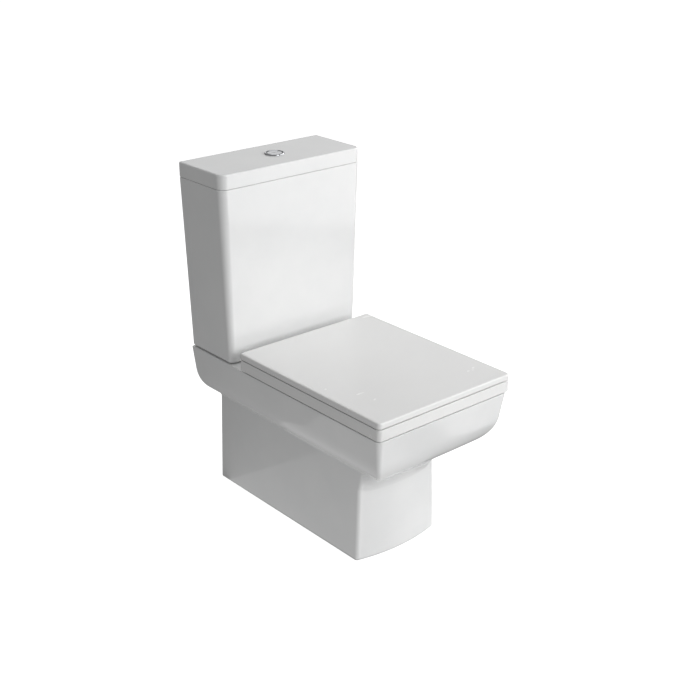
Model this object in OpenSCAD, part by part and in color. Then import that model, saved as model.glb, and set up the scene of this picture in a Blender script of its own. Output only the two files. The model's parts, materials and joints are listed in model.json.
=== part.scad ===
// Close coupled toilet: pan, cistern, seat and the working parts inside.
// Frame: floor at z = 0, centre line x = 0, wall behind at y = +projection / 2, front towards -y.

/* [Overall] */
// Wall to the front of the seat
projection = 666; // [600:1:720]
// Floor to the top of the cistern lid
overall_height = 820; // [780:1:860]

/* [Pan] */
// Width of the pan at the rim
pan_width = 374; // [350:1:400]
// Floor to the rim
rim_height = 374; // [360:1:420]
// How far the pan front stands behind the seat front
pan_setback = 3.5; // [2:0.5:10]
// Corner radius of the skin in plan
skin_corner = 12; // [8:1:30]
// Draft of the skin below the rim, degrees
skin_draft = 7.5; // [2:0.5:12]
// Depth of the drafted band below the rim
skin_band = 58; // [40:1:70]
// Radius that turns the skin in under the bowl
skin_radius = 95; // [80:1:120]
// Slope of the underside from vertical, degrees
skin_slope = 50.5; // [45:0.5:58]
// How much faster the front turns in than the sides
skin_lean = 1.085; // [1:0.005:1.15]
// Corner radius where the skin runs into the pedestal
skin_corner_low = 6; // [4:1:12]
// Rounding of the rim edge
rim_round = 4; // [2:0.5:6]
// Wall of the china
china_wall = 10; // [8:0.5:13]

/* [Pedestal] */
// Width at the floor
ped_width = 237; // [210:1:250]
// Width where it meets the bowl
ped_top_width = 220; // [200:1:240]
// How far the pedestal corner stands behind the seat front
ped_setback = 148; // [120:1:180]
// Bow of the front face
ped_bow = 14; // [6:1:20]
// Corner radius in plan
ped_corner = 9; // [5:1:20]

/* [Bowl] */
// Width of the bowl opening
bowl_width = 262; // [240:1:280]
// Length of the bowl opening
bowl_length = 330; // [300:1:350]
// Wall to the middle of the bowl opening
bowl_centre = 450; // [430:1:470]
// Inner radius of the trapway
trap_r = 26; // [23:0.5:30]
// Height of the middle of the sump
sump_z = 112; // [104:1:124]
// Height of the middle of the weir
weir_z = 215; // [205:1:225]

/* [Outlet] */
// Outer radius of the outlet spigot
spigot_r = 51; // [50:0.5:55]
// Height of its middle above the floor
spigot_z = 180; // [175:1:190]
// How far the spigot ends in front of the wall
spigot_back = 24; // [10:1:60]

/* [Cistern] */
// Width at the top
cistern_top_width = 393; // [370:1:410]
// Width at the platform
cistern_base_width = 364; // [340:1:380]
// Depth at the top
cistern_top_depth = 163; // [150:1:190]
// Depth at the platform
cistern_base_depth = 144; // [130:1:170]
// Corner radius at the top
cistern_corner = 18; // [10:1:30]
// Wall of the cistern
cistern_wall = 9; // [7:0.5:12]
// Gap between cistern and platform
platform_gap = 3; // [2:0.5:6]
// Depth of the recess under the cistern
recess = 24; // [18:1:30]
// Distance of the two wall screws apart
wall_fix_pitch = 220; // [180:1:260]
// Radius of the wall screw holes
wall_fix_r = 4; // [3:0.5:5]

/* [Cistern lid] */
// Height of the lid
lid_height = 34; // [28:1:42]
// Overhang of the lid past the cistern on each side
lid_over = 1; // [0.5:0.5:4]
// Top plate of the lid
lid_plate = 9; // [7:0.5:12]

/* [Button] */
// Outer radius of the chrome bezel
bezel_r = 23.5; // [20:0.5:30]
// Offset of the button to the right of the middle
button_x = 9; // [0:1:15]
// Radius of the button inside the bezel
button_r = 17.5; // [14:0.5:22]
// Travel of the button
button_travel = 6; // [4:0.5:8]
// Gap between the moving button halves
button_gap = 0.5; // [0.35:0.05:0.8]

/* [Seat] */
// Width of the seat and its lid
seat_width = 380; // [360:1:410]
// Wall to the back of the seat
seat_back = 196; // [186:1:215]
// Corner radius in plan
seat_corner = 9; // [5:1:20]
// Gap below the ring, taken by the buffers
seat_gap = 4.5; // [3:0.5:6]
// Thickness of the ring
ring_height = 25; // [18:1:28]
// Gap between ring and lid
lid_gap = 2.5; // [2:0.5:4]
// Thickness of the seat lid
seat_lid_height = 13; // [10:1:18]
// Width of the hole in the ring
seat_hole_width = 222; // [200:1:240]
// Length of the hole in the ring
seat_hole_length = 292; // [260:1:310]

/* [Hinge] */
// Distance of the two hinge posts apart
hinge_pitch = 155; // [140:1:170]
// Height of the hinge pin above the rim
hinge_height = 17; // [16:0.5:20]
// Radius of the hinge pin
pin_r = 4; // [3:0.5:5]
// Running clearance of the hinge pin
pin_fit = 0.06; // [0.02:0.01:0.1]
// Radius of the knuckles
knuckle_r = 10; // [8:0.5:12]
// Side gap between knuckles and post
knuckle_gap = 1; // [0.5:0.1:2]

/* [Flush valve] */
// Outer radius of the threaded tail
tail_r = 30; // [28:0.5:33]
// Outer radius of the tower
tower_r = 38; // [34:0.5:44]
// Outer radius of the overflow tube
overflow_r = 18; // [14:0.5:22]
// Lift of the flush tube
flush_lift = 24; // [18:1:28]
// Clearance between sliding parts
slide_fit = 0.6; // [0.4:0.1:1]

/* [Fill valve] */
// Distance of the fill valve in from the left side of the cistern
fill_inset = 57; // [50:1:65]
// Radius of the inlet tail (G1/2)
inlet_r = 10.4; // [10:0.1:10.5]
// Length of the inlet tail below the nut
inlet_tail = 34; // [25:1:45]
// Travel of the float
float_travel = 20; // [14:1:22]
// Length of the lever from its pin to the link
lever_arm = 48; // [40:1:56]

/* [Colours] */
// White glazed china
china = [0.94, 0.945, 0.945];
// White seat plastic
seat_white = [0.95, 0.955, 0.955];
// Chrome
chrome = [0.62, 0.64, 0.66];
// Moulded white plastic inside
plastic = [0.9, 0.9, 0.88];
// Blue plastic inside
blue = [0.22, 0.42, 0.72];
// Black rubber
rubber = [0.09, 0.09, 0.1];
// Plated steel
steel = [0.7, 0.71, 0.72];

/* [Hidden] */
$fn = 48;
e = 0.01;
wall_y = projection / 2;
front_y = -projection / 2;
pan_front = front_y + pan_setback;
pan_hw = pan_width / 2;
seat_hw = seat_width / 2;
hinge_y = wall_y - seat_back - 13;
hinge_z = rim_height + hinge_height;
ring_z = rim_height + seat_gap;
slid_z = ring_z + ring_height + lid_gap;
seat_top = slid_z + seat_lid_height;
seat_back_y = wall_y - seat_back;
// radius of the ring's heel about the hinge, clear of the pads and the seat lid
heel_r = min(hinge_height - 1.8, seat_gap + ring_height + lid_gap - hinge_height) - 0.4;
cis_z = rim_height + platform_gap;
lid_seam = 0.5;
lid_z = overall_height - lid_height;
cis_top = lid_z - lid_seam;
floor_z = cis_z + recess;
floor_top = floor_z + 10;
valve_y = wall_y - 72;
lid_depth = cistern_top_depth + lid_over;
button_y = wall_y - lid_depth / 2;
bowl_y = wall_y - bowl_centre;
skin_fall = skin_radius * (cos(skin_draft) - cos(skin_slope)) + skin_band * tan(skin_draft);
skin_end = skin_band + skin_radius * (sin(skin_slope) - sin(skin_draft));
// depth at which the front of the skin is well inside the pedestal
skin_low = skin_end + max(20, ((ped_setback - pan_setback + 10) / skin_lean - skin_fall) / tan(skin_slope));
fill_x = cistern_base_width / 2 - fill_inset;
float_r = 28;
float_h = 58;
window_w = 14;
window_h = 34;
ped_front = front_y + ped_setback;
plat_t = 12;
rod_gap = 7;
nut_top = floor_z - 3;
hole_clear = 2;
bush_r = 7;
well_r = tail_r + 5;
coupling_pitch = 150;
stud_r = 4;
stud_in = 10;
coupling_y = valve_y;
float_z = floor_top + 92;
stem_top = floor_top + 232;
lever_z = stem_top + 35;
lever_y = valve_y;
tower_z0 = floor_top + 58;
tower_z1 = overall_height - lid_plate - 100;
cap_h = 20;

// ---- helpers ----
function arc(cx, cy, r, a0, a1, n) =
  [for (i = [0:n]) let (a = a0 + (a1 - a0) * i / n) [cx + r * cos(a), cy + r * sin(a)]];
// box in plan: half width, front, back, front radius, back radius, bow of the front
function plan(hw, yf, yb, rf, rb, bow = 0, n = 4, m = 8) = concat(
  arc(hw - rf, yf + rf, rf, -90 + (bow > 0 ? 8 : 0), 0, n),
  arc(hw - rb, yb - rb, rb, 0, 90, n),
  arc(-hw + rb, yb - rb, rb, 90, 180, n),
  arc(-hw + rf, yf + rf, rf, 180, 270 - (bow > 0 ? 8 : 0), n),
  bow > 0 ? [for (i = [1:m - 1]) let (t = -1 + 2 * i / m) [t * (hw - rf), yf - bow * (1 - t * t)]] : []);
// egg in plan: half width, middle, half lengths to front and back, n points
function egg(hw, cy, lf, lb, p, n) = [for (i = [0:n - 1]) let (a = 360 * i / n, c = cos(a), s = sin(a))
  [hw * sign(c) * pow(abs(c), p), cy + (s > 0 ? lb : lf) * sign(s) * pow(abs(s), p)]];
// skin through a stack of plan outlines
module loft(secs, zs) {
  n = len(secs[0]); k = len(secs);
  polyhedron(
    points = [for (j = [0:k - 1]) for (q = secs[j]) [q[0], q[1], zs[j]]],
    faces = concat([[for (i = [0:n - 1]) i]],
      [for (j = [0:k - 2]) for (i = [0:n - 1]) let (a = j * n + i, b = j * n + (i + 1) % n)
        for (t = [0:1]) t == 0 ? [a, a + n, b] : [b, a + n, b + n]],
      [[for (i = [0:n - 1]) k * n - 1 - i]]));
}
// inset of the skin at depth d below the rim
function inset(d) =
  d < rim_round ? rim_round - sqrt(rim_round * rim_round - pow(rim_round - d, 2)) :
  d < skin_band ? d * tan(skin_draft) :
  d < skin_end ? let (a = asin((d - skin_band) / skin_radius + sin(skin_draft)))
    skin_band * tan(skin_draft) + skin_radius * (cos(skin_draft) - cos(a)) :
  skin_fall + (d - skin_end) * tan(skin_slope);
skin_levels = concat([0.01, 1.2, 4, 24, skin_band],
  [for (i = [1:7]) skin_band + skin_radius * (sin(skin_draft + (skin_slope - skin_draft) * i / 7) - sin(skin_draft))],
  [for (i = [1:3]) skin_end + (skin_low - skin_end) * i / 3]);
function corner_r(d) = skin_corner - (skin_corner - skin_corner_low) * min(1, max(0, d) / skin_end);
// outer skin (t = 0) or the hollow inside it (t = wall)
module skin(t) {
  lv = [for (i = [len(skin_levels) - 1:-1:0]) if (t == 0 || skin_levels[i] > plat_t + 6) skin_levels[i]];
  lz = t == 0 ? lv : concat(lv, [plat_t]);
  loft([for (d = lz) let (s = inset(max(d, t == 0 ? 0 : 4)))
      plan(pan_hw - s - t, pan_front + s * skin_lean + t, wall_y + (t == 0 ? 0 : 5), max(corner_r(d) - t, 3), 1)],
    [for (d = lz) rim_height - d]);
}
module pedestal(t, z1) {
  f = (z1 + e) / (rim_height * 0.6);
  hw0 = ped_width / 2 - t; hw1 = ped_top_width / 2 - t;
  r = max(ped_corner - t, 2);
  yb = wall_y + (t == 0 ? 0 : 5);
  loft([for (h = [t == 0 ? 0 : -5, rim_height * 0.6, z1]) let (w = h > rim_height * 0.6 - 1 ? hw1 : hw0)
      plan(w, ped_front + t, yb, r, 1, ped_bow, 4, 10)],
    [t == 0 ? 0 : -5, rim_height * 0.6, z1]);
}
// ---- bowl and trapway ----
bowl_n = 32;
bowl_lv = [[374, 1], [366, 0.985], [340, 0.955], [300, 0.89], [260, 0.78], [225, 0.62], [195, 0.45], [160, 0.315],
  [125, 0.27], [100, 0.22], [88, 0.12]];
function bowl_sec(k, t) = let (q = 1 - k, hw = max(bowl_width / 2 * pow(k, 0.92), 12) + t,
    cy = bowl_y + q * 42)
  egg(hw, cy, max(bowl_length / 2 * k, 12) + t, max(bowl_length / 2 * k, 12) + t, 0.86, bowl_n);
module bowl(t, up = 0.5) {
  lv = [for (i = [len(bowl_lv) - 1:-1:0]) bowl_lv[i]];
  s = rim_height / 374;
  loft([for (v = concat(lv, [[0, 1]])) bowl_sec(v[1], t)], concat([for (v = lv) v[0] * s - t], [rim_height + up]));
}
sump_y = bowl_y + 30;
function unit(v) = v / norm(v);
bends = [[sump_y + 64, sump_z], [sump_y + 140, weir_z], [sump_y + 210, spigot_z]];
turn = 24;
path = concat([[sump_y, sump_z]],
  [for (i = [0:2]) let (a = i == 0 ? [sump_y, sump_z] : bends[i - 1], b = bends[i],
    c = i == 2 ? [wall_y - 110, spigot_z] : bends[i + 1]) each [b - unit(b - a) * turn, b + unit(c - b) * turn]],
  [[wall_y - 110, spigot_z]]);
// tube along the path, mitred at each bend
module trap(r) {
  n = 24; k = len(path);
  polyhedron(
    points = [for (j = [0:k - 1]) let (u = unit(path[max(j, 1)] - path[max(j, 1) - 1]),
        v = unit(path[min(j, k - 2) + 1] - path[min(j, k - 2)]), b = unit(u + v), s = r / (b * u))
      for (i = [0:n - 1]) let (a = -360 * (i + 0.5) / n)
        [r * cos(a), path[j][0] - b[1] * s * sin(a), path[j][1] + b[0] * s * sin(a)]],
    faces = concat([[for (i = [0:n - 1]) i]],
      [for (j = [0:k - 2]) for (i = [0:n - 1]) let (a = j * n + i, b = j * n + (i + 1) % n)
        for (t = [0:1]) t == 0 ? [a, a + n, b] : [b, a + n, b + n]],
      [[for (i = [0:n - 1]) k * n - 1 - i]]));
}
module spigot() {
  translate([0, wall_y - 96, spigot_z]) rotate([-90, 0, 0]) cylinder(r = spigot_r, h = 96 - spigot_back);
  translate([0, wall_y - 132, spigot_z]) rotate([-90, 0, 0])
    cylinder(r1 = trap_r + china_wall - 3, r2 = spigot_r, h = 36.01);
}
module spigot_bore() {
  translate([0, wall_y - 96, spigot_z]) rotate([-90, 0, 0]) cylinder(r = spigot_r - 9, h = 100);
  translate([0, wall_y - 134, spigot_z]) rotate([-90, 0, 0]) cylinder(r1 = trap_r - 3, r2 = spigot_r - 9, h = 38.01);
}
module both() { children(); mirror([1, 0, 0]) children(); }
module at_hinge() { for (s = [-1, 1]) translate([s * hinge_pitch / 2, hinge_y, 0]) children(); }
module at_coupling() { for (s = [-1, 1]) translate([s * coupling_pitch / 2, coupling_y, 0]) children(); }
module tube(ro, ri, h) {
  difference() {
    cylinder(r = ro, h = h);
    translate([0, 0, -1]) cylinder(r = ri, h = h + 2);
  }
}
well_z = rim_height - 62;
plat_z = rim_height - plat_t;
channel_y = bowl_y + bowl_length / 2 - 30;
web_y = sump_y + 206;
foot_z = rim_height - skin_band;
// passage from the well to the back of the bowl
module passage(t, h) {
  translate([-well_r - t, channel_y - (t > 0 ? 0 : 2), well_z + 9 - t]) cube([2 * (well_r + t), valve_y - channel_y, h]);
}
module rim_holes() {
  translate([0, valve_y, well_z + 9]) cylinder(r = well_r, h = 100);
  at_coupling() translate([0, 0, rim_height - 40]) cylinder(r = 7, h = 50);
  at_hinge() translate([0, 0, rim_height - 40]) cylinder(r = bush_r, h = 50);
  translate([-fill_x, valve_y, rim_height - 40]) cylinder(r = inlet_r + 14, h = 50);
}
// The pan is fired in one; its rim and skin, bowl, flush channel, trapway and foot are modelled apart and meet face to face.
module pan() {
  color(china) difference() {
    resize([0, 0, 0]) difference() {
      skin(0);
      skin(china_wall);
      pedestal(0, foot_z);
      bowl(china_wall);
    }
    rim_holes();
  }
}
module bowl_shell() {
  color(china) resize([0, 0, 0]) difference() {
    union() {
      bowl(china_wall, 0);
      intersection() {
        trap(trap_r + china_wall);
        translate([-100, sump_y - 5, 0]) cube([200, 35, 200]);
      }
      // web that stands under the sump
      translate([-6, sump_y - 60, 0]) cube([12, 85, sump_z]);
    }
    bowl(0);
    trap(trap_r);
    passage(0, 30);
  }
}
module flush_channel() {
  color(china) difference() {
    resize([0, 0, 0]) difference() {
      union() {
        translate([0, valve_y, well_z]) cylinder(r = well_r + 9, h = plat_z - well_z, $fn = 24);
        passage(9, plat_z - well_z);
      }
      bowl(china_wall);
      passage(0, 30);
    }
    translate([0, valve_y, well_z + 9]) cylinder(r = well_r, h = 100);
  }
}
module trapway() {
  color(china) difference() {
    union() {
      resize([0, 0, 0]) difference() {
        trap(trap_r + china_wall);
        translate([-100, sump_y - 100, 0]) cube([200, 130, 300]);
        bowl(china_wall);
        trap(trap_r);
      }
      spigot();
    }
    trap(trap_r);
    spigot_bore();
  }
}
module foot() {
  color(china) difference() {
    resize([0, 0, 0]) difference() {
      union() {
        difference() {
          pedestal(0, foot_z);
          pedestal(china_wall, foot_z - 8);
        }
        // web that carries the trapway
        intersection() {
          translate([-ped_width / 2, web_y, 0]) cube([ped_width, 12, spigot_z]);
          pedestal(3, foot_z);
        }
        // lugs for the floor screws
        both() translate([ped_width / 2 - 48, wall_y - 70, 0]) cube([44, 44, 22]);
      }
      skin(china_wall);
      bowl(china_wall);
      trap(trap_r + china_wall);
    }
    both() translate([ped_width / 2 - 28, wall_y - 48, -1]) cylinder(r = 4.5, h = 40);
  }
}
// ---- cistern ----
function cis_f(z) = (z - cis_z) / (cis_top - cis_z);
function cis_plan(z, t, back) = let (f = cis_f(z), hw = (cistern_base_width + f * (cistern_top_width - cistern_base_width)) / 2,
    d = cistern_base_depth + f * (cistern_top_depth - cistern_base_depth), r = cistern_corner - 5 + 5 * f)
  plan(hw - t, wall_y - d + t, wall_y - back, max(r - t, 4), max(6 - t, 3), 0, 6);
module cistern() {
  color(china) difference() {
    loft([cis_plan(cis_z, 1.5, 1), cis_plan(cis_z + 2, 0, 0), cis_plan(cis_top - 2, 0, 0), cis_plan(cis_top, 1.8, 1)],
      [cis_z, cis_z + 2, cis_top - 2, cis_top]);
    loft([cis_plan(floor_top, cistern_wall + 8, cistern_wall + 6), cis_plan(floor_top + 8, cistern_wall, cistern_wall),
        cis_plan(cis_top + 5, cistern_wall, cistern_wall)],
      [floor_top, floor_top + 8, cis_top + 5]);
    loft([cis_plan(cis_z - 1, cistern_wall + 2, cistern_wall + 2), cis_plan(floor_z, cistern_wall + 3, cistern_wall + 2)],
      [cis_z - 1, floor_z]);
    translate([0, valve_y, cis_z]) cylinder(r = tail_r + 1.5, h = 60);
    translate([-fill_x, valve_y, cis_z]) cylinder(r = inlet_r + 1.4, h = 60);
    both() translate([wall_fix_pitch / 2, wall_y - 20, cis_top - 48]) rotate([-90, 0, 0]) cylinder(r = wall_fix_r, h = 40);
  }
}
function lid_plan(t, back) = plan(cistern_top_width / 2 + lid_over - t, wall_y - lid_depth + t, wall_y - back,
  max(cistern_corner + lid_over - t, 4), max(6 - t, 3), 0, 6);
module cistern_lid() {
  in_t = cistern_wall + lid_over + 2.5;
  color(china) difference() {
    union() {
      loft([lid_plan(1.5, 1), lid_plan(0, 0), lid_plan(0, 0), lid_plan(0.5, 0.5), lid_plan(1.6, 1.6), lid_plan(3.6, 3.6)],
        [lid_z, lid_z + 1.8, overall_height - 4, overall_height - 2, overall_height - 0.7, overall_height]);
      // lip that drops inside the cistern
      loft([lid_plan(in_t, in_t), lid_plan(in_t, in_t)], [lid_z - 9, lid_z + 4]);
    }
    loft([lid_plan(in_t + 6, in_t + 6), lid_plan(in_t + 6, in_t + 6)], [lid_z - 10, overall_height - lid_plate]);
    translate([button_x, button_y, overall_height - 30]) cylinder(r = bezel_r - 3.5, h = 60);
  }
}
// ---- push button ----
collar_r = bezel_r - 4;
module button_bezel() {
  color(chrome) translate([button_x, button_y, overall_height]) difference() {
    union() {
      cylinder(r1 = bezel_r, r2 = bezel_r - 0.6, h = 1.8);
      translate([0, 0, 1.8]) cylinder(r1 = bezel_r - 0.6, r2 = bezel_r - 2.2, h = 1.2);
      translate([0, 0, -34]) cylinder(r = collar_r, h = 35);
    }
    translate([0, 0, -35]) cylinder(r = button_r + button_gap, h = 60);
    translate([0, 0, 1.4]) cylinder(r1 = button_r + button_gap, r2 = button_r + 2.4, h = 1.61);
  }
}
module bezel_nut() {
  color(plastic) translate([button_x, button_y, overall_height - lid_plate - 8.3]) difference() {
    union() {
      cylinder(r = collar_r + 4, h = 8);
      translate([0, 0, 6]) cylinder(r = collar_r + 7, h = 2);
      for (a = [0:45:315]) rotate(a) translate([collar_r + 3, -2, 0]) cube([3.6, 4, 8]);
    }
    translate([0, 0, -1]) cylinder(r = collar_r, h = 20);
  }
}
split_y = 3;
module button_part(y0, y1) {
  translate([button_x, button_y, overall_height]) intersection() {
    difference() {
      union() {
        translate([0, 0, -13]) cylinder(r = button_r, h = 14.2);
        translate([0, 0, 1.2]) cylinder(r1 = button_r, r2 = button_r - 0.8, h = 0.8);
      }
      translate([0, 0, -14]) cylinder(r = button_r - 1.8, h = 12.5);
    }
    translate([-50, y0, -50]) cube([100, y1 - y0, 100]);
  }
}
module push_pad(x0, y0, y1) {
  translate([button_x, button_y, overall_height]) intersection() {
    translate([0, 0, -6]) cylinder(r = button_r - 1, h = 5);
    translate([x0 - 5, y0, -20]) cube([10, y1 - y0, 40]);
  }
}
rod_r = 2.5;
rod_y = [-6, 8.5];
rod_top = overall_height - 3.5;
module button_half(i, y0, y1) {
  color(chrome) difference() {
    union() { button_part(y0, y1); push_pad(0, max(y0, -12), min(y1, 15)); }
    translate([button_x, button_y + rod_y[i], rod_top - 20]) cylinder(r = rod_r, h = 20);
  }
}
module full_flush_button() { button_half(0, -50, split_y - button_gap); }
module half_flush_button() { button_half(1, split_y + button_gap, 50); }
rod_low = tower_z1 + cap_h - 5;
module push_rod(i) {
  translate([button_x, button_y + rod_y[i], rod_low]) {
    cylinder(r = rod_r, h = rod_top - rod_low);
    cylinder(r1 = 1.8, r2 = 3.6, h = 3);
    translate([0, 0, 3]) cylinder(r = 3.6, h = 3);
    translate([0, 0, rod_top - rod_low - 14]) cylinder(r = 3.6, h = 4);
  }
}
module full_push_rod() { color(blue) push_rod(0); }
module half_push_rod() { color(plastic) push_rod(1); }
// ---- flush valve ----
seat_lip = floor_top + 12;
module flush_valve_body() {
  color(plastic) translate([0, valve_y, 0]) difference() {
    union() {
      translate([0, 0, rim_height - 14]) tube(tail_r, tail_r - 4, floor_top + 4 - rim_height + 14);
      translate([0, 0, floor_top + 3]) tube(tail_r + 11, tail_r - 4, 5);
      translate([0, 0, floor_top + 8]) tube(tail_r - 1, tail_r - 4, 4);
      for (a = [45:90:315]) rotate(a) translate([tower_r - 5, -5, floor_top + 7]) cube([4, 10, tower_z0 - floor_top - 4]);
      translate([0, 0, tower_z0]) tube(tower_r, tower_r - 3, tower_z1 - tower_z0);
      for (a = [0:60:300]) rotate(a) translate([overflow_r + slide_fit, -1.2, tower_z0 + 30])
        cube([tower_r - overflow_r - slide_fit - 2, 2.4, 24]);
    }
    // windows that let the overflow in
    for (a = [30:60:330]) rotate(a) translate([0, -window_w / 2, tower_z1 - 36 - window_h])
      cube([tower_r + 5, window_w, window_h]);
  }
}
module flush_valve_cap() {
  color(blue) translate([0, valve_y, tower_z1]) difference() {
    union() {
      cylinder(r = tower_r + 1, h = 8);
      translate([0, 0, 8]) cylinder(r1 = tower_r - 1, r2 = tower_r - 5, h = cap_h - 8);
      translate([0, 0, -8]) tube(tower_r - 3.2, tower_r - 6, 9);
    }
    for (i = [0, 1]) translate([button_x, button_y + rod_y[i] - valve_y, 5]) cylinder(r = 5.5, h = 30);
    both() translate([tower_r - 8, -4, 12]) cube([12, 8, 20]);
  }
}
tube_top = tower_z1 - 40;
module flush_tube() {
  color(blue) translate([0, valve_y, 0]) {
    translate([0, 0, seat_lip + 3.4]) tube(overflow_r, overflow_r - 2, tube_top - seat_lip - 3.4);
    translate([0, 0, seat_lip + 3.4]) difference() {
      cylinder(r = tail_r - 0.5, h = 3);
      translate([0, 0, -1]) cylinder(r = overflow_r - 2, h = 6);
    }
    translate([0, 0, seat_lip + 6.4]) difference() {
      cylinder(r1 = tail_r - 4, r2 = overflow_r, h = 10);
      translate([0, 0, -1]) cylinder(r = overflow_r - 2, h = 14);
    }
    translate([0, 0, seat_lip - 3]) tube(overflow_r, overflow_r - 2, 7);
  }
}
module flush_seal() { color(rubber) translate([0, valve_y, seat_lip + 0.3]) tube(tail_r, overflow_r + 0.1, 3); }
module flush_valve_washer() { color(rubber) translate([0, valve_y, floor_top + 0.1]) tube(tail_r + 9, tail_r + 0.1, 2.8); }
module lugs(r, w, h, n) { for (i = [0:n - 1]) rotate(i * 360 / n) translate([r - 2, -w / 2, 0]) cube([6, w, h]); }
module flush_valve_backnut() {
  color(plastic) translate([0, valve_y, nut_top - 9]) difference() {
    union() { cylinder(r = tail_r + 7, h = 8.7); lugs(tail_r + 6, 6, 8.7, 8); }
    translate([0, 0, -1]) cylinder(r = tail_r, h = 20);
  }
}
// ---- fill valve ----
module fill_valve_body() {
  color(plastic) translate([-fill_x, valve_y, 0]) difference() {
    union() {
      translate([0, 0, floor_z - 12 - inlet_tail]) cylinder(r = inlet_r, h = inlet_tail + 40);
      translate([0, 0, floor_z - 12]) cylinder(r = inlet_r + 0.3, h = 40);
      translate([0, 0, floor_top + 2.4]) cylinder(r = 18, h = 5);
      translate([0, 0, floor_top + 7]) cylinder(r1 = 15, r2 = 11, h = 20);
      translate([0, 0, floor_top + 20]) cylinder(r = 11, h = stem_top - floor_top - 20);
      for (a = [0:90:270]) rotate(a) translate([9, -1.5, floor_top + 24]) cube([4.4, 3, 40]);
      translate([0, 0, stem_top - 4]) cylinder(r1 = 11, r2 = 17, h = 6);
      translate([0, 0, stem_top + 2]) cylinder(r = 17, h = 12);
    }
    translate([0, 0, floor_z - 60]) cylinder(r = 7, h = stem_top - floor_z + 50);
  }
}
module fill_valve_cap() {
  color(blue) translate([-fill_x, valve_y, stem_top + 14.3]) difference() {
    union() {
      cylinder(r = 18, h = 7);
      translate([0, 0, 7]) cylinder(r1 = 15, r2 = 12, h = 3);
      for (s = [-1, 1]) translate([-14, s * 7 - 2, 6]) cube([14, 4, 19]);
    }
    translate([-8, -20, lever_z - stem_top - 14.3]) rotate([-90, 0, 0]) cylinder(r = 1.5 + pin_fit, h = 40);
  }
}
module lever_pin() {
  color(steel) translate([-fill_x - 8, lever_y - 10, lever_z]) rotate([-90, 0, 0]) cylinder(r = 1.5, h = 20);
}
lever_drop = 12;
module fill_lever() {
  color(blue) translate([-fill_x - 8, lever_y, lever_z]) rotate([0, lever_drop, 0]) difference() {
    union() {
      rotate([-90, 0, 0]) translate([0, 0, -4]) cylinder(r = 4, h = 8);
      translate([0, -4, -2.5]) cube([lever_arm - 8, 8, 5]);
      translate([lever_arm, 0, -2.5]) cylinder(r = 9, h = 5);
      translate([lever_arm - 12, -4, -2.5]) cube([8, 8, 5]);
    }
    rotate([-90, 0, 0]) translate([0, 0, -10]) cylinder(r = 1.5 + pin_fit, h = 20);
    translate([lever_arm, 0, -10]) cylinder(r = 5.5, h = 20);
  }
}
link_x = -fill_x - 8 + lever_arm;
link_z = lever_z - lever_arm * sin(lever_drop);
module fill_float() {
  color([0.86, 0.87, 0.9]) translate([-fill_x, valve_y, float_z]) difference() {
    union() {
      cylinder(r = float_r, h = float_h);
      translate([0, 0, float_h]) cylinder(r1 = float_r, r2 = float_r - 3, h = 3);
      translate([float_r - 10, -6, float_h - 14]) cube([link_x + fill_x - float_r + 16, 12, 10]);
    }
    translate([0, 0, -1]) cylinder(r = 12.4, h = 80);
    translate([0, 0, -1]) difference() { cylinder(r = float_r - 2.5, h = float_h - 6); cylinder(r = 15, h = float_h + 2); }
    translate([link_x + fill_x, 0, 30]) cylinder(r = 2, h = 40);
  }
}
module float_link() {
  color(plastic) translate([link_x, valve_y, 0]) {
    translate([0, 0, float_z + float_h - 14]) cylinder(r = 2, h = link_z + 26 - float_z - float_h);
    translate([0, 0, float_z + float_h - 4]) cylinder(r = 3.5, h = 3);
    translate([0, 0, link_z - 10]) cylinder(r = 6.5, h = 3);
    translate([0, 0, link_z + 7]) cylinder(r = 6.5, h = 3);
  }
}
module fill_valve_washer() { color(rubber) translate([-fill_x, valve_y, floor_top + 0.1]) tube(16.5, inlet_r + 0.4, 2.2); }
module fill_valve_backnut() {
  color(plastic) translate([-fill_x, valve_y, floor_z - 10.3]) difference() {
    union() { cylinder(r = 16, h = 10, $fn = 6); translate([0, 0, 8]) cylinder(r = 17.5, h = 2); }
    translate([0, 0, -1]) cylinder(r = inlet_r + 0.3, h = 20);
  }
}
// ---- coupling ----
module coupling_plate() {
  color(steel) translate([0, valve_y, nut_top]) difference() {
    union() {
      cylinder(r = tail_r + 9, h = 2.7);
      translate([-coupling_pitch / 2, -10, 0]) cube([coupling_pitch, 20, 2.7]);
      both() translate([coupling_pitch / 2, 0, 0]) cylinder(r = 10, h = 2.7);
    }
    translate([0, 0, -1]) cylinder(r = tail_r + 0.5, h = 5);
    both() translate([coupling_pitch / 2, 0, -1]) cylinder(r = 4, h = 5);
  }
}
bolt_low = rim_height - plat_t - 26;
module coupling_bolts() {
  color(steel) at_coupling() {
    translate([0, 0, bolt_low]) cylinder(r = 4, h = floor_z - bolt_low - 0.4);
    translate([0, 0, nut_top - 5.8]) cylinder(r = 7.5, h = 5.5, $fn = 6);
  }
}
module coupling_washers() {
  color(rubber) at_coupling() {
    translate([0, 0, rim_height - plat_t - 4.5]) tube(13, 4.1, 4.2);
  }
}
module coupling_nuts() {
  color(plastic) at_coupling() translate([0, 0, rim_height - plat_t - 17]) difference() {
    union() {
      cylinder(r = 9, h = 12.2);
      translate([0, 0, 9]) cylinder(r = 11.5, h = 3.2);
      for (s = [-1, 1]) translate([s * 11 - 6, -2, 0]) cube([12, 4, 10]);
    }
    translate([0, 0, -1]) cylinder(r = 4, h = 30);
  }
}
module coupling_gasket() {
  color(rubber) translate([0, valve_y, rim_height + 0.3]) difference() {
    union() {
      cylinder(r1 = well_r + 9, r2 = well_r + 13, h = 5);
      translate([0, 0, 5]) cylinder(r1 = well_r + 13, r2 = well_r + 9, h = nut_top - 9.3 - rim_height - 5.3);
    }
    translate([0, 0, -1]) cylinder(r = tail_r + 0.4, h = 40);
  }
}
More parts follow.
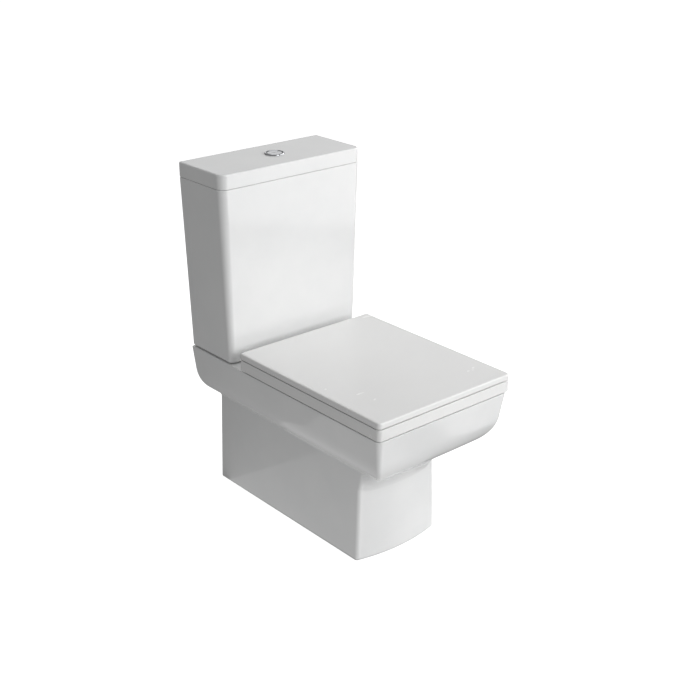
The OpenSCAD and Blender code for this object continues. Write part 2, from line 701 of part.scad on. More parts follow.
// ---- seat ----
function seat_plan(t) = plan(seat_hw - t, front_y + t, seat_back_y - t, seat_corner - t, seat_corner - t, 0, 5);
hole_cy = front_y + 40 + seat_hole_length / 2;
function hole_plan(t) = egg(seat_hole_width / 2 + t, hole_cy, seat_hole_length / 2 + t, seat_hole_length / 2 + t, 0.72, 40);
notch_in = hinge_pitch / 2 - 36;
notch_out = hinge_pitch / 2 + 10.5;
module seat_ring() {
  color(seat_white) difference() {
    union() {
      difference() {
        loft([seat_plan(2), seat_plan(0.5), seat_plan(0), seat_plan(0), seat_plan(0.5), seat_plan(1.7)],
          [0, 0.7, 2, ring_height - 2, ring_height - 0.7, ring_height] + [for (i = [0:5]) ring_z]);
        // hollow underside
        difference() {
          loft([seat_plan(6), seat_plan(6)], [ring_z - 1, ring_z + ring_height - 9]);
          loft([hole_plan(6), hole_plan(9)], [ring_z - 2, ring_z + ring_height]);
          translate([-hinge_pitch / 2 - 40, hinge_y - 20, ring_z - 2]) cube([hinge_pitch + 80, 60, 40]);
          for (s = [-1, 1]) for (y = [-0.62, 0.1])
            translate([s * (seat_hw - 34), y * wall_y, ring_z - 2]) cylinder(r = 11, h = 30);
          for (y = [-0.78:0.26:0.2]) translate([-seat_hw, y * wall_y, ring_z - 2]) cube([seat_width, 3, 30]);
        }
        loft([hole_plan(2), hole_plan(0), hole_plan(0.6), hole_plan(3.5), hole_plan(9)],
          [ring_z - 1, ring_z + 8, ring_z + ring_height - 7, ring_z + ring_height - 2.5, ring_z + ring_height + 0.5]);
        // room for posts and lid knuckles, and the rounded heel
        for (s = [-1, 1]) translate([s > 0 ? notch_in : -notch_out, hinge_y - knuckle_r - 4, ring_z - 5])
          cube([notch_out - notch_in, 80, 60]);
        translate([-seat_hw - 5, hinge_y, hinge_z]) difference() {
          translate([0, 0, -40]) cube([seat_width + 10, 60, 80]);
          translate([-1, 0, 0]) rotate([0, 90, 0]) cylinder(r = heel_r, h = seat_width + 20);
        }
      }
      both() translate([notch_out, hinge_y, hinge_z]) rotate([0, 90, 0]) cylinder(r = knuckle_r, h = 20);
    }
    both() translate([hinge_pitch / 2, hinge_y, hinge_z]) rotate([0, 90, 0]) cylinder(r = pin_r + pin_fit, h = 28);
  }
}
module seat_lid() {
  color(seat_white) difference() {
    union() {
      difference() {
        loft([seat_plan(1.7), seat_plan(0.4), seat_plan(0), seat_plan(0.4), seat_plan(1.5), seat_plan(4)],
          [0, 1, 3, seat_lid_height - 2.4, seat_lid_height - 0.9, seat_lid_height] + [for (i = [0:5]) slid_z]);
        difference() {
          loft([seat_plan(7), seat_plan(9)], [slid_z - 1, slid_z + seat_lid_height - 6]);
          translate([-hinge_pitch / 2 - 45, hinge_y - 22, slid_z - 2]) cube([hinge_pitch + 90, 60, 30]);
          for (x = [-120:60:120]) translate([x - 1.2, front_y, slid_z + 2]) cube([2.4, projection, 20]);
          for (s = [-1, 1]) for (y = [-0.7, 0.02])
            translate([s * (seat_hw - 26), y * wall_y, slid_z - 2]) cylinder(r = 9, h = 30);
        }
      }
      both() intersection() {
        translate([notch_in + knuckle_gap, hinge_y, hinge_z]) union() {
          rotate([0, 90, 0]) cylinder(r = knuckle_r, h = 17);
          translate([0, -knuckle_r, 0]) cube([17, knuckle_r + 9, 20]);
        }
        translate([0, hinge_y - 40, 0]) cube([200, 80, slid_z + 3]);
      }
    }
    both() translate([notch_in - 5, hinge_y, hinge_z]) rotate([0, 90, 0]) cylinder(r = pin_r + pin_fit, h = 28);
  }
}
module seat_buffers() {
  color([0.8, 0.81, 0.82]) for (s = [-1, 1]) for (y = [-0.62, 0.1])
    translate([s * (seat_hw - 34), y * wall_y, rim_height + 0.3]) {
      cylinder(r1 = 7, r2 = 8, h = 1.2);
      translate([0, 0, 1.2]) cylinder(r = 8, h = seat_gap - 1.6);
    }
}
module lid_buffers() {
  color([0.8, 0.81, 0.82]) for (s = [-1, 1]) for (y = [-0.7, 0.02])
    translate([s * (seat_hw - 26), y * wall_y, ring_z + ring_height + 0.3]) cylinder(r1 = 5.4, r2 = 6.2, h = lid_gap - 0.4);
}
// ---- hinge ----
module hinge_posts() {
  color(chrome) at_hinge() difference() {
    union() {
      translate([0, 0, rim_height + 2]) cylinder(r = 9.5, h = 3);
      translate([-7, -8, rim_height + 2]) cube([14, 16, hinge_height - 2]);
      translate([-7, 0, hinge_z]) rotate([0, 90, 0]) cylinder(r = 9, h = 14);
    }
    translate([-20, 0, hinge_z]) rotate([0, 90, 0]) cylinder(r = pin_r, h = 40);
    translate([0, 0, rim_height]) cylinder(r = stud_r, h = stud_in);
  }
}
module hinge_pins() {
  color(steel) both() translate([notch_in + 2, hinge_y, hinge_z]) rotate([0, 90, 0]) cylinder(r = pin_r, h = notch_out - notch_in + 14);
}
module hinge_pads() { color(rubber) at_hinge() translate([0, 0, rim_height + 0.2]) tube(12.5, 4.2, 1.6); }
module hinge_studs() { color(steel) at_hinge() translate([0, 0, rim_height - 44]) cylinder(r = stud_r, h = 44 + stud_in); }
module hinge_bushes() {
  color(rubber) at_hinge() translate([0, 0, rim_height - plat_t - 3.3]) difference() {
    union() { cylinder(r = 13, h = 3); cylinder(r1 = bush_r - 0.5, r2 = bush_r - 1, h = 10); }
    translate([0, 0, -1]) cylinder(r = 4.1, h = 30);
  }
}
module hinge_nuts() {
  color(plastic) at_hinge() translate([0, 0, rim_height - plat_t - 17]) difference() {
    union() {
      cylinder(r = 8, h = 13.4);
      translate([0, 0, 11]) cylinder(r = 12, h = 2.4);
      for (s = [-1, 1]) translate([s * 10 - 5, -1.8, 0]) cube([10, 3.6, 11]);
    }
    translate([0, 0, -1]) cylinder(r = 4, h = 30);
  }
}

pan();
bowl_shell();
flush_channel();
trapway();
foot();
cistern();
cistern_lid();
button_bezel();
bezel_nut();
full_flush_button();
half_flush_button();
full_push_rod();
half_push_rod();
flush_valve_body();
flush_valve_cap();
flush_tube();
flush_seal();
flush_valve_washer();
flush_valve_backnut();
fill_valve_body();
fill_valve_cap();
fill_float();
float_link();
fill_lever();
lever_pin();
fill_valve_washer();
fill_valve_backnut();
coupling_plate();
coupling_bolts();
coupling_washers();
coupling_nuts();
coupling_gasket();
seat_ring();
seat_lid();
seat_buffers();
lid_buffers();
hinge_posts();
hinge_pins();
hinge_pads();
hinge_studs();
hinge_bushes();
hinge_nuts();
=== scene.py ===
import json
import math
import bpy
import bmesh
import numpy as np
from mathutils import Matrix, Vector

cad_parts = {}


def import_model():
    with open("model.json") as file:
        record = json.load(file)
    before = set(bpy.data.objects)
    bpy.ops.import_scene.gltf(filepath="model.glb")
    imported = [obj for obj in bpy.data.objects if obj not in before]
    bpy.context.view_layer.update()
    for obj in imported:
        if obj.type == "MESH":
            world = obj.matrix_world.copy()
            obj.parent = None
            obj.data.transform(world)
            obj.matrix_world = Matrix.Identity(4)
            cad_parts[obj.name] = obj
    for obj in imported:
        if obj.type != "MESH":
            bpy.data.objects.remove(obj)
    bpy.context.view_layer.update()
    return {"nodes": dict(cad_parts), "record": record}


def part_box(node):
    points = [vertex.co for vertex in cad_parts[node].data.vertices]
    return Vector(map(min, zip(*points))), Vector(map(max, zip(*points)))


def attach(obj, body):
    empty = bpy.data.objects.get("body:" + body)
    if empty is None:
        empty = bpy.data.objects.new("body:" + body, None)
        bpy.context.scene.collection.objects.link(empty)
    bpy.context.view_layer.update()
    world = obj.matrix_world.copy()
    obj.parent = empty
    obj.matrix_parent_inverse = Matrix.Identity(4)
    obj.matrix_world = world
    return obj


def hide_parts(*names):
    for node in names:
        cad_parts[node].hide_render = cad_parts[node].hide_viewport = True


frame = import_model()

rad = math.radians
sin, cos, tan, pi = math.sin, math.cos, math.tan, math.pi
PER_M = 1000                    # millimetres in a metre: shapes are written in millimetres
SIDES = (-1, 1)                 # left and right


def mmbox(name):
    """Lowest and highest corner of a CAD node, in millimetres."""
    lo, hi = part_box(name)
    return np.array(lo) * PER_M, np.array(hi) * PER_M


# ---------------------------------------------------------------- materials
class Mat:
    """A node material. Uniform values go straight on the shader's sockets."""

    def __init__(self, name, **values):
        self.m = bpy.data.materials.new(name)
        self.m.use_nodes = True
        self.t = self.m.node_tree
        self.b = self.t.nodes["Principled BSDF"]
        for k, x in values.items():
            self.b.inputs[k].default_value = x
        self.co = self.n("ShaderNodeTexCoord").outputs["Object"]

    def n(self, kind, **settings):
        o = self.t.nodes.new(kind)
        for k, x in settings.items():
            setattr(o, k, x)
        return o

    def link(self, a, b):
        self.t.links.new(a, b)

    def noise(self, scale, detail=3, rough=0.5, stretch=None):
        o = self.n("ShaderNodeTexNoise")
        o.inputs["Scale"].default_value = scale
        o.inputs["Detail"].default_value = detail
        o.inputs["Roughness"].default_value = rough
        src = self.co
        if stretch:
            mp = self.n("ShaderNodeMapping")
            mp.inputs["Scale"].default_value = stretch
            self.link(src, mp.inputs["Vector"])
            src = mp.outputs[0]
        self.link(src, o.inputs["Vector"])
        return o.outputs["Fac"]

    def span(self, src, a, b, lo=0.3, hi=0.7):
        """Maps lo..hi of the source onto a..b."""
        o = self.n("ShaderNodeMapRange")
        o.inputs["From Min"].default_value = lo
        o.inputs["From Max"].default_value = hi
        o.inputs["To Min"].default_value = a
        o.inputs["To Max"].default_value = b
        self.link(src, o.inputs["Value"])
        return o.outputs["Result"]

    def mix(self, fac, a, b):
        o = self.n("ShaderNodeMix", data_type="RGBA")
        for s, x in ((o.inputs["Factor"], fac), (o.inputs["A"], a), (o.inputs["B"], b)):
            if hasattr(x, "is_output"):
                self.link(x, s)
            else:
                s.default_value = x
        return o.outputs["Result"]

    def add(self, a, b):
        o = self.n("ShaderNodeMath", operation="ADD")
        self.link(a, o.inputs[0])
        self.link(b, o.inputs[1])
        return o.outputs[0]

    def bump(self, src, strength, dist, prev=None):
        o = self.n("ShaderNodeBump")
        o.inputs["Strength"].default_value = strength
        o.inputs["Distance"].default_value = dist
        self.link(src, o.inputs["Height"])
        if prev is not None:
            self.link(prev, o.inputs["Normal"])
        return o.outputs["Normal"]

    def drift(self, a, b, *noise):
        """Two close colours that drift into each other with a noise."""
        return self.mix(self.span(self.noise(*noise), 0, 1), a, b)

    def painted_fold_shade(self, dark, colour, reach, lo=0.35, hi=0.95, only_local=True):
        """The colour with painted shade: darkened where the surface turns in on itself within reach, in
        metres.
        """
        o = self.n("ShaderNodeAmbientOcclusion", samples=4, only_local=only_local)
        o.inputs["Distance"].default_value = reach
        return self.mix(self.span(o.outputs["AO"], 0, 1, lo, hi), dark, colour)

    def to(self, src, socket):
        self.link(src, self.b.inputs[socket])


def china():
    """Fired vitreous china: a clear glaze with a slight orange peel, and painted shade darkening the creases.
    """
    m = Mat("china_glaze", **{"Metallic": 0.0, "IOR": 1.52, "Specular IOR Level": 0.5,
                              "Coat Weight": 0.06, "Coat Roughness": 0.03, "Coat IOR": 1.5})
    glaze = m.drift((0.800, 0.806, 0.806, 1), (0.835, 0.838, 0.836, 1), 9, 4, 0.55)
    m.to(m.painted_fold_shade((0.66, 0.672, 0.672, 1), glaze, 0.012), "Base Color")
    m.to(m.span(m.noise(26, 3, 0.6), 0.07, 0.14), "Roughness")
    peel = m.bump(m.noise(46, 2, 0.4), 0.045, 0.001)
    m.to(m.bump(m.noise(7, 2, 0.4), 0.05, 0.004, peel), "Normal")
    return m.m


def bisque():
    """Unglazed or thinly sprayed china inside the hollows and under the foot."""
    m = Mat("china_bare", **{"Metallic": 0.0, "IOR": 1.5})
    clay = m.drift((0.62, 0.59, 0.54, 1), (0.74, 0.72, 0.68, 1), 14, 5, 0.6)
    specks = m.span(m.noise(420, 2, 0.5), 0, 1, 0.66, 0.72)
    m.to(m.mix(specks, clay, (0.42, 0.39, 0.34, 1)), "Base Color")
    m.to(m.span(m.noise(60, 3, 0.6), 0.5, 0.8), "Roughness")
    m.to(m.bump(m.noise(700, 3, 0.6), 0.35, 0.0006, m.bump(m.noise(22, 3), 0.3, 0.002)), "Normal")
    return m.m


def seat_plastic():
    """Thick white thermoset of the seat and lid: pressed, polished, a touch warmer than the china."""
    m = Mat("seat_duroplast", **{"Metallic": 0.0, "IOR": 1.5, "Coat Weight": 0.08, "Coat Roughness": 0.12})
    white = m.drift((0.812, 0.812, 0.806, 1), (0.824, 0.824, 0.818, 1), 7, 3, 0.5)
    # painted shade: the white darkens where the moulding turns in on itself within 8 mm
    m.to(m.painted_fold_shade((0.66, 0.66, 0.655, 1), white, 0.008), "Base Color")
    polish_marks = m.span(m.noise(6, 2, 0.4, (1, 6, 1)), 0, 0.02)
    m.to(m.add(m.span(m.noise(18, 3, 0.5), 0.23, 0.26), polish_marks), "Roughness")
    m.to(m.bump(m.noise(900, 2, 0.5), 0.02, 0.0002, m.bump(m.noise(5, 2, 0.4), 0.02, 0.002)), "Normal")
    return m.m


def chrome():
    """Bright plating, dark in the crevices, where the bezel and the buttons hide the light."""
    m = Mat("chrome_plate", **{"Metallic": 1.0, "IOR": 1.5})
    plate = m.drift((0.60, 0.61, 0.63, 1), (0.68, 0.69, 0.71, 1), 60, 4, 0.6)
    m.to(m.painted_fold_shade((0.05, 0.052, 0.055, 1), plate, 0.006, only_local=False), "Base Color")
    m.to(m.span(m.noise(180, 4, 0.7), 0.04, 0.13), "Roughness")
    m.to(m.bump(m.noise(1500, 2, 0.5), 0.04, 0.0001), "Normal")
    return m.m


def plastic(name, a, b, rough=(0.3, 0.42), grain=0.12):
    """Injection moulded part with a fine spark texture and flow clouding."""
    m = Mat(name, **{"Metallic": 0.0, "IOR": 1.49})
    flow = m.drift(a + (1,), b + (1,), 30, 4, 0.6)
    # painted shade: the clouded colour darkens to 0.6 of the first colour in the crevices
    m.to(m.painted_fold_shade(tuple(x * 0.6 for x in a) + (1,), flow, 0.005, 0.3, 0.9), "Base Color")
    m.to(m.span(m.noise(70, 3, 0.6), *rough), "Roughness")
    m.to(m.bump(m.noise(2200, 3, 0.6), grain, 0.0002, m.bump(m.noise(90, 2), 0.06, 0.0006)), "Normal")
    return m.m


def rubber():
    """Dull black rubber of the washers, seals and the coupling gasket."""
    m = Mat("black_rubber", **{"Metallic": 0.0, "IOR": 1.48})
    m.to(m.drift((0.018, 0.018, 0.019, 1), (0.045, 0.045, 0.047, 1), 60, 5, 0.6), "Base Color")
    m.to(m.span(m.noise(120, 3, 0.6), 0.6, 0.85), "Roughness")
    m.to(m.bump(m.noise(1600, 3, 0.7), 0.3, 0.0002), "Normal")
    return m.m


def steel():
    """Zinc plated fixings: spangled, slightly yellow-blue, with painted shade darkening the crevices."""
    m = Mat("zinc_steel", **{"Metallic": 1.0})
    cells = m.n("ShaderNodeTexVoronoi")
    cells.inputs["Scale"].default_value = 260
    m.link(m.co, cells.inputs["Vector"])
    spangle = m.span(cells.outputs["Distance"], 0, 1, 0, 0.8)
    zinc = m.mix(spangle, (0.56, 0.57, 0.56, 1), (0.68, 0.67, 0.63, 1))
    m.to(m.painted_fold_shade((0.16, 0.15, 0.14, 1), zinc, 0.004, 0.3, 0.9), "Base Color")
    m.to(m.span(m.noise(150, 4, 0.6), 0.22, 0.42), "Roughness")
    m.to(m.bump(m.noise(900, 3, 0.6, (1, 1, 6)), 0.12, 0.0002), "Normal")
    return m.m


# one material for each slot of the record, and "bare" for unglazed china
M = {
    "china": china(), "bare": bisque(), "seat_white": seat_plastic(), "chrome": chrome(),
    "white_plastic": plastic("white_pom", (0.70, 0.70, 0.68), (0.78, 0.78, 0.76)),
    "blue_plastic": plastic("blue_pp", (0.035, 0.12, 0.40), (0.05, 0.155, 0.47)),
    "float_grey": plastic("float_pp", (0.52, 0.54, 0.58), (0.60, 0.62, 0.66), (0.38, 0.5)),
    "buffer_grey": plastic("buffer_tpe", (0.44, 0.45, 0.46), (0.53, 0.54, 0.55), (0.5, 0.66), 0.2),
    "rubber": rubber(), "steel": steel(),
}
CHINA = ("china", "bare")       # materials of the china pieces
BARE = 1                        # index of the second one


# ---------------------------------------------------------------- mesh code, in millimetres
def obj(name, verts, faces, index=0):
    """Object from vertices in millimetres; index is the place of its material in polish()'s list."""
    me = bpy.data.meshes.new(name)
    me.from_pydata([tuple(float(c) / PER_M for c in v) for v in verts], [], faces)
    me.update()
    if index:
        me.polygons.foreach_set("material_index", [index] * len(me.polygons))
    o = bpy.data.objects.new(name, me)
    bpy.context.scene.collection.objects.link(o)
    return o


def loft(name, rings, index=0):
    """Closed quad skin through rings of equal length, listed upwards and anticlockwise from above."""
    n, k = len(rings[0]), len(rings)
    f = [(j * n + i, j * n + (i + 1) % n, (j + 1) * n + (i + 1) % n, (j + 1) * n + i)
         for j in range(k - 1) for i in range(n)]
    f.append(tuple(range(n - 1, -1, -1)))
    f.append(tuple(range((k - 1) * n, k * n)))
    return obj(name, [p for r in rings for p in r], f, index)


def outline(W, front, yb, rf, rb, z, nf=20, ns=14, nc=8, nb=4, nk=8):
    """Rounded box in plan, at height z.

    W is the half width, front a number or a function of x, yb the back, rf and rb the corner
    radii; nf, ns, nc, nb and nk count the steps of front, side, front corner, back corner and back.
    """
    fx = front if callable(front) else (lambda x: front)
    # the front corner's arc meets the front along its slope m, found in a few rounds
    dx, xc, m = 0.05, W - rf, 0.0
    for _ in range(6):
        m = (fx(xc + dx) - fx(xc - dx)) / (2 * dx)
        xc = W - rf + rf * m / math.hypot(1, m)
    cx, cy = W - rf, fx(xc) + rf / math.hypot(1, m)
    a0 = -90 + math.degrees(math.atan(m))
    front_arc = [rad(a0 - a0 * i / nc) for i in range(nc + 1)]
    back_arc = [rad(90 * i / nb) for i in range(nb + 1)]
    right = [(cx + rf * cos(a), cy + rf * sin(a)) for a in front_arc]
    right += [(W, cy + (yb - rb - cy) * i / ns) for i in range(1, ns)]
    right += [(W - rb + rb * cos(a), yb - rb + rb * sin(a)) for a in back_arc]
    back = [((W - rb) * (1 - 2 * i / nk), yb) for i in range(1, nk)]
    left = [(-x, y) for x, y in reversed(right)]
    fr = [(-xc + 2 * xc * i / nf, fx(-xc + 2 * xc * i / nf)) for i in range(1, nf)]
    return [(x, y, z) for x, y in right + back + left + fr]


def egg(hw, hl, cy, p, z, n=64):
    """Superellipse round (0, cy), of half width hw and half length hl, squarer as p falls."""
    out = []
    for i in range(n):
        c, s = cos(2 * pi * i / n), sin(2 * pi * i / n)
        out.append((hw * math.copysign(abs(c) ** p, c), cy + hl * math.copysign(abs(s) ** p, s), z))
    return out


def quarter(z, inward, height, up=True, n=6):
    """(height, inset) pairs of a quarter ellipse that ends an upward stack of rings, or starts one."""
    arc = [rad(90 * i / n) for i in range(n + 1)]
    v = [(z + height * sin(a), inward * (1 - cos(a))) for a in arc]
    return v if up else [(2 * z - p, q) for p, q in reversed(v)]


def box(name, lo, hi, index=0):
    """A plain cutter or web inside another piece, never a piece by itself."""
    return loft(name, [[(lo[0], lo[1], z), (hi[0], lo[1], z), (hi[0], hi[1], z), (lo[0], hi[1], z)]
                       for z in (lo[2], hi[2])], index)


def lathe(name, prof, at=(0, 0, 0), axis="z", n=64, index=0):
    """Solid of revolution from (radius, height) pairs listed upwards, outer side only."""
    rings = [[(r * cos(2 * pi * i / n), r * sin(2 * pi * i / n), h) for i in range(n)] for r, h in prof]
    o = loft(name, rings, index)
    R = Matrix.Rotation(rad(-90), 4, "X") if axis == "y" else Matrix.Identity(4)
    o.data.transform(Matrix.Translation(Vector(at) / PER_M) @ R)
    return o


def hoop(name, prof, at, n=72):
    """Ring solid from a closed loop of (radius, height) pairs, anticlockwise."""
    k = len(prof)
    v = [(r * cos(2 * pi * i / n) + at[0], r * sin(2 * pi * i / n) + at[1], h + at[2])
         for r, h in prof for i in range(n)]
    f = [(j * n + i, j * n + (i + 1) % n, ((j + 1) % k) * n + (i + 1) % n, ((j + 1) % k) * n + i)
         for j in range(k) for i in range(n)]
    return obj(name, v, f)


def sweep(name, path, r, n=48, index=0):
    """Tube solid along a path in the YZ plane."""
    rings = []
    P = [np.array(p, float) for p in path]
    for i, p in enumerate(P):
        d = P[min(i + 1, len(P) - 1)] - P[max(i - 1, 0)]
        d /= np.linalg.norm(d)
        nrm = np.array([-d[1], d[0]])
        turn = [-2 * pi * j / n for j in range(n)]
        rings.append([(r * cos(a), p[0] + nrm[0] * r * sin(a), p[1] + nrm[1] * r * sin(a)) for a in turn])
    o = loft(name, rings, index)
    bm = bmesh.new()
    bm.from_mesh(o.data)
    bmesh.ops.recalc_face_normals(bm, faces=bm.faces)
    bm.to_mesh(o.data)
    bm.free()
    return o


def rounded_path(pts, R, step=9):
    """Polyline in the YZ plane with its corners turned on arcs of radius R."""
    P = [np.array(p, float) for p in pts]
    out = [P[0]]
    for a, b, c in zip(P, P[1:], P[2:]):
        u, v = (b - a) / np.linalg.norm(b - a), (c - b) / np.linalg.norm(c - b)
        th = math.acos(np.clip(u @ v, -1, 1))
        t = R * tan(th / 2)
        s = 1 if u[0] * v[1] - u[1] * v[0] > 0 else -1
        n0 = np.array([-u[1], u[0]]) * s
        cen = b - u * t + n0 * R
        k = max(3, int(R * th / step))
        out += [cen - n0 * R * cos(th * i / k) + u * R * sin(th * i / k) for i in range(k + 1)]
    out.append(P[-1])
    return out


def apply_mods(o):
    """Turns the modifiers into mesh."""
    dg = bpy.context.evaluated_depsgraph_get()
    me = bpy.data.meshes.new_from_object(o.evaluated_get(dg))
    o.modifiers.clear()
    old, o.data = o.data, me
    bpy.data.meshes.remove(old)


def cut(a, b, op="DIFFERENCE"):
    """Boolean of a with b, which is used up."""
    md = a.modifiers.new("b", "BOOLEAN")
    md.operation, md.object, md.solver = op, b, "MANIFOLD"
    apply_mods(a)
    if len(a.data.polygons) < 4:
        raise RuntimeError(f"boolean emptied {a.name} with {b.name}")
    me = b.data
    bpy.data.objects.remove(b)
    bpy.data.meshes.remove(me)


def add(a, b):
    """Union of a with b, which is used up."""
    cut(a, b, "UNION")


WELD, SLIVER = 2e-6, 1e-6       # metres
FACE_WEIGHT = 60                # how far large faces flatten the shading of the edges beside them


def polish(o, mats, angle=32, bevel=0.0, seg=2, limit=40):
    """Names the materials, rounds the sharp edges a little and sets smooth shading with weighted normals."""
    bm = bmesh.new()
    bm.from_mesh(o.data)
    bmesh.ops.remove_doubles(bm, verts=bm.verts, dist=WELD)
    bmesh.ops.dissolve_degenerate(bm, edges=bm.edges, dist=SLIVER)
    bm.to_mesh(o.data)
    bm.free()
    o.data.materials.clear()
    for m in mats:
        o.data.materials.append(M[m])
    if bevel:
        b = o.modifiers.new("edge", "BEVEL")
        b.width, b.segments, b.limit_method, b.angle_limit = bevel / PER_M, seg, "ANGLE", rad(limit)
        b.use_clamp_overlap = True
        b.harden_normals = False
        apply_mods(o)
    o.data.shade_smooth()
    o.data.set_sharp_from_angle(angle=rad(angle))
    w = o.modifiers.new("wn", "WEIGHTED_NORMAL")
    w.keep_sharp = True
    w.weight = FACE_WEIGHT
    apply_mods(o)


def place(o, body, slot, *replaced):
    """Hands a piece to its body and hides the CAD nodes it stands for; slot is not used."""
    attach(o, body)
    if replaced:
        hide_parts(*replaced)


# ---------------------------------------------------------------- sizes from the frame
pan_hi = mmbox("pan")[1]
cis_lo, cis_hi = mmbox("cistern")
lid_lo, lid_hi = mmbox("cistern_lid")
seat_lo, seat_hi = mmbox("seat_lid")
RIM = pan_hi[2]
WALL = pan_hi[1]
FRONT = seat_lo[1]
HINGE_Y, HINGE_Z = WALL - 209, RIM + 17
VALVE_Y = WALL - 72             # flush valve, fill valve and coupling bolts stand in one row
BOWL_Y = WALL - 450
INLET_X = -125                  # fill valve
BOLT_X, POST_X, SCREW_X = 75, 77.5, 90.5    # coupling bolts, hinge posts, floor screws
SCREW_Y, LUG = WALL - 48, 22                # floor screws, and half width and height of their lugs
OUTLET_Z = 180


# ---------------------------------------------------------------- pan: skin and pedestal
PAN_HW, PAN_F = 187.0, FRONT + 3.5          # half width and front at the rim
CHINA_T = 10.0                              # wall of the casting
# side of the skin: a drafted band, an arc, then a straight slope under the bowl
DRAFT, BAND, SKIN_R, SLOPE = 7.5, 58.0, 95.0, 50.5
LEAN = 1.085                                # the front falls in this much faster than the sides
ARC_IN = SKIN_R * (cos(rad(DRAFT)) - cos(rad(SLOPE))) + BAND * tan(rad(DRAFT))
ARC_END = BAND + SKIN_R * (sin(rad(SLOPE)) - sin(rad(DRAFT)))
PED_F, BOW = FRONT + 148, 14.0              # pedestal: front, and how far it is bowed
PED_W0, PED_W1, PED_TOP = 118.5, 110.0, 0.6     # its half widths, the second from this share of RIM upwards
FILLET, CREASE = 42.0, 7.0                  # blend of skin and pedestal in front, and at the sides
RIM_CORNER, SKIN_CORNER, PED_CORNER, CORNER_BLEND = 12, 6, 9, 26
BACK_CORNER, LEAST_CORNER, FRONT_STEPS = 2.2, 2.5, 44
CROWN, CROWN_Z, CROWN_H = 2.0, 310, 60      # the front is crowned below this height, over this range
NECK_Z, NECK_H = 238, 24                    # the neck sweeps in below this height, over this range
SWEEP, SWEEP_POWER = 44.0, 1.8              # width and curve of the neck beside the pedestal's edges


def inset(d):
    """How far the skin has fallen in, d below the rim."""
    if d < 0:
        return 0.0
    if d < BAND:
        return d * tan(rad(DRAFT))
    if d < ARC_END:
        a = math.asin((d - BAND) / SKIN_R + sin(rad(DRAFT)))
        return BAND * tan(rad(DRAFT)) + SKIN_R * (cos(rad(DRAFT)) - cos(a))
    return ARC_IN + (d - ARC_END) * tan(rad(SLOPE))


def smooth(v):
    """Soft step from 0 to 1."""
    v = min(1.0, max(0.0, v))
    return v * v * (3 - 2 * v)


def smax(a, b, k):
    """The larger of two values, blended over the width k."""
    h = max(k - abs(a - b), 0) / k
    return max(a, b) + h * h * k / 4


def pan_ring(z, t=0.0, k=CREASE, extra=0.0):
    """Outline of the body at height z: the skin and the pedestal run together with a soft fillet.

    t is the wall taken off for an inner ring, and extra what an edge rounding takes off.
    """
    d = RIM - z
    s = inset(d)
    ws, wp = PAN_HW - s, PED_W0 + (PED_W1 - PED_W0) * min(1, z / (RIM * PED_TOP))
    W = smax(ws, wp, k) - t - extra
    yf = PAN_F + s * LEAN
    corner = RIM_CORNER - (RIM_CORNER - SKIN_CORNER) * min(1, d / ARC_END)
    r = PED_CORNER + (corner - PED_CORNER) * smooth((ws - wp) / CORNER_BLEND + 0.5)
    # under the lip the front is crowned, and a neck sweeps from it back to the pedestal's edges
    neck = smooth((NECK_Z - z) / NECK_H)
    crown = CROWN * smooth((CROWN_Z - z) / CROWN_H)

    def front(x):
        q = min(1.0, abs(x) / (wp - PED_CORNER))
        yp = PED_F - BOW * (1 - q * q)
        ys = yf - crown * (1 - min(1.0, abs(x) / (ws - SKIN_CORNER)) ** 2)
        ys += neck * max(0.0, PED_F - ys) * max(0.0, (abs(x) - wp + SWEEP) / SWEEP) ** SWEEP_POWER
        return -smax(-ys, -yp, k + (FILLET - k) * (1 - q ** 4)) + t + extra

    back = WALL + 5 if t else WALL - extra
    return outline(W, front, back, max(r - t - extra, LEAST_CORNER), BACK_CORNER, z, FRONT_STEPS)


def pan_levels(top):
    """Heights of the rings, closest where the pedestal grows out of the skin."""
    spans = ((12, 168, 12), (168, 246, 2.6), (246, 320, 4.0), (322, top, 8.0))
    return [z for lo, hi, step in spans for z in np.arange(lo, hi, step) if z < top - 3]


RIM_ROUND, HOLLOW_TOP = 1.6, RIM - 12
foot_round = ((0, 2.2), (0.35, 1.1), (1.2, 0.35), (2.6, 0))
pan = loft("pan_china", [pan_ring(z, extra=x) for z, x in foot_round]
           + [pan_ring(z) for z in pan_levels(RIM - RIM_ROUND)]
           + [pan_ring(z, extra=x) for z, x in quarter(RIM - RIM_ROUND, RIM_ROUND, RIM_ROUND)])
cut(pan, loft("hollow", [pan_ring(z, CHINA_T, 6) for z in [-5] + pan_levels(HOLLOW_TOP) + [RIM - 16]]
              + [pan_ring(HOLLOW_TOP, CHINA_T, 6, 3)], BARE))


# ---------------------------------------------------------------- pan: bowl, trap and water ways
# height and share of the bowl's full size
BOWL = ((88, .12), (100, .22), (125, .27), (160, .315), (195, .45), (225, .62), (260, .78), (300, .89),
        (340, .955), (366, .985), (374, 1))
BOWL_Z, BOWL_K = np.array([b[0] for b in BOWL], float), np.array([b[1] for b in BOWL])
BOWL_HW, BOWL_HL, BOWL_MIN = 131, 165, 12   # half width and half length, and the least of either
BOWL_FULL, BOWL_POWER = 0.92, 0.86          # the width shrinks less than the length, and the plan is oval
BOWL_BACK = 42                              # how far the bowl drifts back on its way down
BOWL_FOOT, BOWL_TOP, BOWL_STEP = 88, 374, 7.0
SHELL_TOP, SHELL_EDGE = 368, 355            # of the bowl's outside; only its top ring is over the edge


